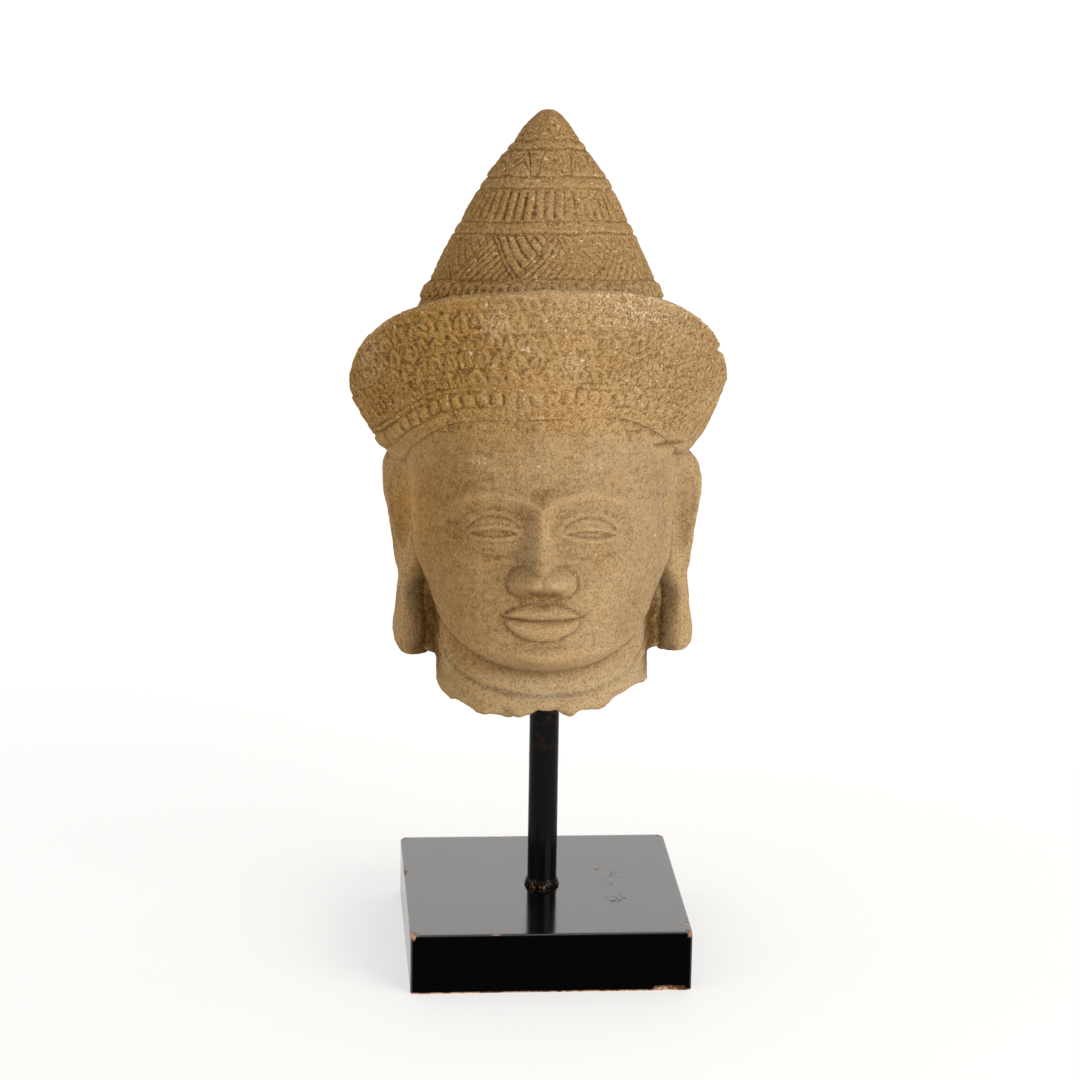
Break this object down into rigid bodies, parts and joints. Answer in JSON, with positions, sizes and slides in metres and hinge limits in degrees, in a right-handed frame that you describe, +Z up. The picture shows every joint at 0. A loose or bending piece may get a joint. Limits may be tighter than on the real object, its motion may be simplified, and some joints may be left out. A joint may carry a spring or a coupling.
{
  "type": "carved stone head on a stand",
  "caption": "Carved sandstone head with a flared diadem and a tall tiered conical crown, held up by a black steel rod on a square black lacquered block.",
  "frame": {"origin": "centre of the block's underside, on the surface it stands on; the rod's axis is the Z axis", "axes": "+Z up along the rod, +X along the block's edge to the viewer's right, +Y to the back; the head leans back 10.7 degrees and is turned 4.5 degrees to the viewer's left"},
  "size_m": [0.2036, 0.2009, 0.452],
  "materials": {
    "sandstone": "matt weathered tan sandstone, fine grained, with pale mineral specks and brown earth in the hollows",
    "black_rod": "semi-gloss black paint on round steel bar, rubbed to red-brown near the top",
    "black_lacquer": "semi-gloss black lacquer, chipped to brown wood at the edges"
  },
  "bodies": {
    "root": {"stone_head": "sandstone", "support_rod": "black_rod", "base_block": "black_lacquer"}
  },
  "joints": []
}
